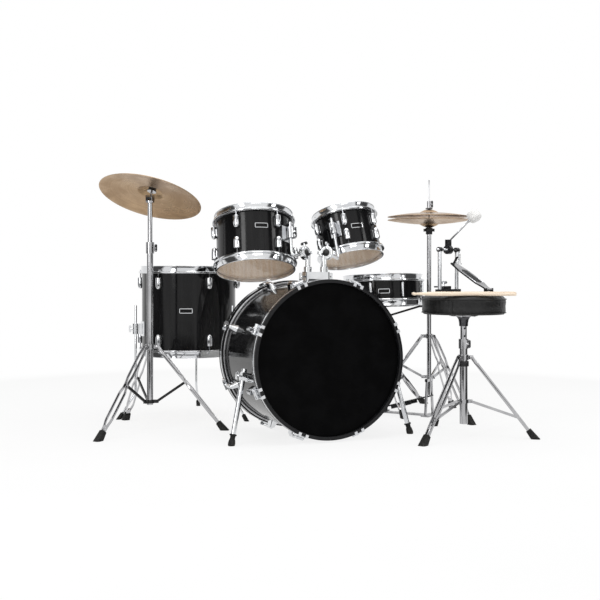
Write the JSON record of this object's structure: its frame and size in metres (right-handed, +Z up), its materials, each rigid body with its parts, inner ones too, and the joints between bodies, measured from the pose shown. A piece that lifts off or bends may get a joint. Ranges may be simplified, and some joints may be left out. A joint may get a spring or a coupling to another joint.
{
  "type": "acoustic drum kit",
  "caption": "Acoustic drum kit: bass drum with rack toms, floor tom and snare, hi-hat, crash cymbal on its stand, and a throne that holds the bass drum pedal and sticks.",
  "frame": {"origin": "on the floor, under the middle of the kit's bounding box", "axes": "+Z up, +X to the right of someone who faces the front of the bass drum, +Y towards the player's side"},
  "size_m": [1.6905, 1.3648, 1.014],
  "materials": {
    "black_shell": "gloss black wrap on ply",
    "film": "coated film",
    "bass_film": "gloss black film",
    "black_hoop": "gloss black with a bright inlay",
    "chrome": "polished",
    "dark_steel": "dark satin",
    "cymbal": "lathed",
    "cast": "cast, satin",
    "vinyl": "grained vinyl",
    "stick_wood": "lacquered"
  },
  "bodies": {
    "kit": {"bass_drum_shell": "black_shell", "bass_drum_heads": "bass_film", "bass_drum_hoops": "black_hoop", "bass_drum_lugs": "chrome", "bass_drum_claws": "chrome", "bass_drum_brackets": "chrome", "floor_tom_shell": "black_shell", "floor_tom_heads": "film", "floor_tom_hoops": "chrome", "floor_tom_fittings": "chrome", "snare_stand": "chrome", "hi_hat_stand": "chrome", "hi_hat_bottom_cymbal": "cymbal", "cymbal_stand_base_tube": "chrome", "throne_base_tube": "chrome"},
    "left_spur": {"left_spur": "chrome"},
    "right_spur": {"right_spur": "chrome"},
    "left_tom_arm": {"left_tom_arm": "chrome"},
    "left_tom": {"left_tom_shell": "black_shell", "left_tom_heads": "film", "left_tom_hoops": "chrome", "left_tom_fittings": "chrome"},
    "right_tom_arm": {"right_tom_arm": "chrome"},
    "right_tom": {"right_tom_shell": "black_shell", "right_tom_heads": "film", "right_tom_hoops": "chrome", "right_tom_fittings": "chrome"},
    "floor_tom_legs": {"floor_tom_legs": "chrome"},
    "snare_basket": {"snare_basket": "chrome"},
    "snare_drum": {"snare_shell": "black_shell", "snare_heads": "film", "snare_hoops": "chrome", "snare_fittings": "chrome"},
    "snare_lever": {"snare_throw_off_lever": "chrome"},
    "hi_hat_footboard": {"hi_hat_footboard": "cast"},
    "hi_hat_pull": {"hi_hat_pull_rod": "chrome", "hi_hat_top_cymbal": "cymbal"},
    "cymbal_upper": {"cymbal_stand_upper_tube": "chrome"},
    "cymbal_tilter": {"cymbal_tilter": "chrome"},
    "crash_cymbal": {"crash_cymbal": "cymbal"},
    "cymbal_leg_collar": {"cymbal_stand_leg_collar": "chrome"},
    "cymbal_stand_leg_1": {"cymbal_stand_leg_1": "chrome"},
    "cymbal_stand_brace_1": {"cymbal_stand_brace_1": "dark_steel"},
    "cymbal_stand_leg_2": {"cymbal_stand_leg_2": "chrome"},
    "cymbal_stand_brace_2": {"cymbal_stand_brace_2": "dark_steel"},
    "cymbal_stand_leg_3": {"cymbal_stand_leg_3": "chrome"},
    "cymbal_stand_brace_3": {"cymbal_stand_brace_3": "dark_steel"},
    "throne_brace_collar": {"throne_brace_collar": "chrome"},
    "throne_leg_1": {"throne_leg_1": "chrome"},
    "throne_brace_1": {"throne_brace_1": "dark_steel"},
    "throne_leg_2": {"throne_leg_2": "chrome"},
    "throne_brace_2": {"throne_brace_2": "dark_steel"},
    "throne_leg_3": {"throne_leg_3": "chrome"},
    "throne_brace_3": {"throne_brace_3": "dark_steel"},
    "throne_post": {"throne_post": "chrome"},
    "throne_seat": {"throne_seat": "vinyl"},
    "pedal": {"pedal_frame": "cast"},
    "pedal_footboard": {"pedal_footboard": "cast"},
    "pedal_beater": {"pedal_beater": "chrome"},
    "drum_sticks": {"drum_sticks": "stick_wood"}
  },
  "joints": [
    {"name": "left_spur_fold", "type": "hinge", "parent": "kit", "child": "left_spur", "pos_m": [-0.346, -0.337, 0.241], "axis": [0.9744, 0, -0.225], "range_deg": [0, 85]},
    {"name": "right_spur_fold", "type": "hinge", "parent": "kit", "child": "right_spur", "pos_m": [0.258, -0.337, 0.241], "axis": [0.9744, 0, 0.225], "range_deg": [0, 85]},
    {"name": "left_tom_swivel", "type": "hinge", "parent": "kit", "child": "left_tom_arm", "pos_m": [-0.077, -0.292, 0.638], "axis": [0, 0, 1], "range_deg": [-6, 8]},
    {"name": "left_tom_tilt", "type": "hinge", "parent": "left_tom_arm", "child": "left_tom", "pos_m": [-0.089, -0.292, 0.69], "axis": [-0.832, -0.5548, 0], "range_deg": [-8, 0.8]},
    {"name": "right_tom_swivel", "type": "hinge", "parent": "kit", "child": "right_tom_arm", "pos_m": [-0.011, -0.292, 0.638], "axis": [0, 0, 1], "range_deg": [-8, 8]},
    {"name": "right_tom_tilt", "type": "hinge", "parent": "right_tom_arm", "child": "right_tom", "pos_m": [0.001, -0.292, 0.69], "axis": [-0.6936, 0.7204, 0], "range_deg": [-8, 4]},
    {"name": "floor_tom_legs_height", "type": "slide", "parent": "kit", "child": "floor_tom_legs", "axis": [0, 0, 1], "range_m": [0, 0.1]},
    {"name": "snare_basket_tilt", "type": "hinge", "parent": "kit", "child": "snare_basket", "pos_m": [0.5125, 0.26089, 0.39226], "axis": [1, 0, 0], "range_deg": [-8, 8]},
    {"name": "snare_drum_lift_out", "type": "slide", "parent": "snare_basket", "child": "snare_drum", "axis": [0, 0.061, 0.9981], "range_m": [0, 0.1]},
    {"name": "snare_throw_off", "type": "hinge", "parent": "snare_drum", "child": "snare_lever", "pos_m": [0.68854, 0.34914, 0.53915], "axis": [0.4099, -0.9104, 0.0557], "range_deg": [0, 80]},
    {"name": "hi_hat_pedal", "type": "hinge", "parent": "kit", "child": "hi_hat_footboard", "pos_m": [0.47308, 0.17725, 0.024], "axis": [0.7771, 0.6293, 0], "range_deg": [0, 3]},
    {"name": "hi_hat_pull", "type": "slide", "parent": "kit", "child": "hi_hat_pull", "axis": [0, 0, 1], "range_m": [-0.0118, 0], "stiffness_N_per_m": 700, "springref_m": 0.05},
    {"name": "cymbal_stand_height", "type": "slide", "parent": "kit", "child": "cymbal_upper", "axis": [0, 0, 1], "range_m": [-0.04, 0.2]},
    {"name": "cymbal_tilt", "type": "hinge", "parent": "cymbal_upper", "child": "cymbal_tilter", "pos_m": [-0.594, 0.0805, 0.909], "axis": [-0.6513, 0.7588, 0], "range_deg": [-22, 18]},
    {"name": "crash_spin", "type": "hinge", "parent": "cymbal_tilter", "child": "crash_cymbal", "pos_m": [-0.58136, 0.09135, 0.94972], "axis": [0.2874, 0.2466, 0.9255], "continuous": true},
    {"name": "cymbal_stand_fold", "type": "slide", "parent": "kit", "child": "cymbal_leg_collar", "axis": [0, 0, 1], "range_m": [0, 0.07]},
    {"name": "cymbal_stand_leg_1_fold", "type": "hinge", "parent": "cymbal_leg_collar", "child": "cymbal_stand_leg_1", "pos_m": [-0.56624, 0.06912, 0.326], "axis": [0.3795, 0.9252, 0], "range_deg": [0, 18.34]},
    {"name": "cymbal_stand_brace_1_fold", "type": "hinge", "parent": "kit", "child": "cymbal_stand_brace_1", "pos_m": [-0.56902, 0.07025, 0.112], "axis": [-0.3795, -0.9252, 0], "range_deg": [0, 27.46]},
    {"name": "cymbal_stand_leg_2_fold", "type": "hinge", "parent": "cymbal_leg_collar", "child": "cymbal_stand_leg_2", "pos_m": [-0.59802, 0.11023, 0.326], "axis": [-0.991, -0.134, 0], "range_deg": [0, 18.34]},
    {"name": "cymbal_stand_brace_2_fold", "type": "hinge", "parent": "kit", "child": "cymbal_stand_brace_2", "pos_m": [-0.59762, 0.10726, 0.112], "axis": [0.991, 0.134, 0], "range_deg": [0, 27.46]},
    {"name": "cymbal_stand_leg_3_fold", "type": "hinge", "parent": "cymbal_leg_collar", "child": "cymbal_stand_leg_3", "pos_m": [-0.61774, 0.06215, 0.326], "axis": [0.6115, -0.7912, 0], "range_deg": [0, 18.34]},
    {"name": "cymbal_stand_brace_3_fold", "type": "hinge", "parent": "kit", "child": "cymbal_stand_brace_3", "pos_m": [-0.61536, 0.06399, 0.112], "axis": [-0.6115, 0.7912, 0], "range_deg": [0, 27.46]},
    {"name": "throne_fold", "type": "slide", "parent": "kit", "child": "throne_brace_collar", "axis": [0, 0, 1], "range_m": [0, 0.05]},
    {"name": "throne_leg_1_fold", "type": "hinge", "parent": "kit", "child": "throne_leg_1", "pos_m": [0.49746, -0.51314, 0.298], "axis": [0.5548, 0.832, 0], "range_deg": [0, 13.83]},
    {"name": "throne_brace_1_fold", "type": "hinge", "parent": "throne_brace_collar", "child": "throne_brace_1", "pos_m": [0.49496, -0.51148, 0.133], "axis": [0.5548, 0.832, 0], "range_deg": [0, 32.25]},
    {"name": "throne_leg_2_fold", "type": "hinge", "parent": "kit", "child": "throne_leg_2", "pos_m": [0.47444, -0.46656, 0.298], "axis": [-0.9979, 0.0645, 0], "range_deg": [0, 13.83]},
    {"name": "throne_brace_2_fold", "type": "hinge", "parent": "throne_brace_collar", "child": "throne_brace_2", "pos_m": [0.47424, -0.46956, 0.133], "axis": [-0.9979, 0.0645, 0], "range_deg": [0, 32.25]},
    {"name": "throne_leg_3_fold", "type": "hinge", "parent": "kit", "child": "throne_leg_3", "pos_m": [0.4456, -0.50979, 0.298], "axis": [0.4431, -0.8965, 0], "range_deg": [0, 13.83]},
    {"name": "throne_brace_3_fold", "type": "hinge", "parent": "throne_brace_collar", "child": "throne_brace_3", "pos_m": [0.44829, -0.50846, 0.133], "axis": [0.4431, -0.8965, 0], "range_deg": [0, 32.25]},
    {"name": "throne_height", "type": "slide", "parent": "kit", "child": "throne_post", "axis": [0, 0, 1], "range_m": [-0.029, 0.087]},
    {"name": "throne_swivel", "type": "hinge", "parent": "throne_post", "child": "throne_seat", "pos_m": [0.4725, -0.4965, 0.462], "axis": [0, 0, 1], "continuous": true},
    {"name": "pedal_lift_off", "type": "slide", "parent": "throne_seat", "child": "pedal", "axis": [0, 0, 1], "range_m": [0, 0.08]},
    {"name": "pedal_press", "type": "hinge", "parent": "pedal", "child": "pedal_footboard", "pos_m": [0.54353, -0.55705, 0.5523], "axis": [-0.8934, -0.4493, 0], "range_deg": [0, 13.5], "stiffness_Nm_per_rad": 3, "springref_deg": -20.05},
    {"name": "pedal_beater_swing", "type": "hinge", "parent": "pedal", "child": "pedal_beater", "pos_m": [0.46355, -0.39803, 0.7043], "axis": [-0.8934, -0.4493, 0], "range_deg": [0, 58.55]},
    {"name": "drum_sticks_lift_off", "type": "slide", "parent": "throne_seat", "child": "drum_sticks", "axis": [0, 0, 1], "range_m": [0, 0.08]}
  ],
  "couplings": [
    {"joint": "hi_hat_pull", "follows": "hi_hat_pedal", "m_per_rad": -0.21347},
    {"joint": "cymbal_stand_leg_1_fold", "follows": "cymbal_stand_fold", "rad_per_m": 4.4477},
    {"joint": "cymbal_stand_brace_1_fold", "follows": "cymbal_stand_fold", "rad_per_m": 6.7224},
    {"joint": "cymbal_stand_leg_2_fold", "follows": "cymbal_stand_fold", "rad_per_m": 4.4477},
    {"joint": "cymbal_stand_brace_2_fold", "follows": "cymbal_stand_fold", "rad_per_m": 6.7224},
    {"joint": "cymbal_stand_leg_3_fold", "follows": "cymbal_stand_fold", "rad_per_m": 4.4477},
    {"joint": "cymbal_stand_brace_3_fold", "follows": "cymbal_stand_fold", "rad_per_m": 6.7224},
    {"joint": "throne_leg_1_fold", "follows": "throne_fold", "rad_per_m": 4.6535},
    {"joint": "throne_brace_1_fold", "follows": "throne_fold", "rad_per_m": 11.083},
    {"joint": "throne_leg_2_fold", "follows": "throne_fold", "rad_per_m": 4.6535},
    {"joint": "throne_brace_2_fold", "follows": "throne_fold", "rad_per_m": 11.083},
    {"joint": "throne_leg_3_fold", "follows": "throne_fold", "rad_per_m": 4.6535},
    {"joint": "throne_brace_3_fold", "follows": "throne_fold", "rad_per_m": 11.083},
    {"joint": "pedal_beater_swing", "follows": "pedal_press", "ratio": 4.3}
  ]
}
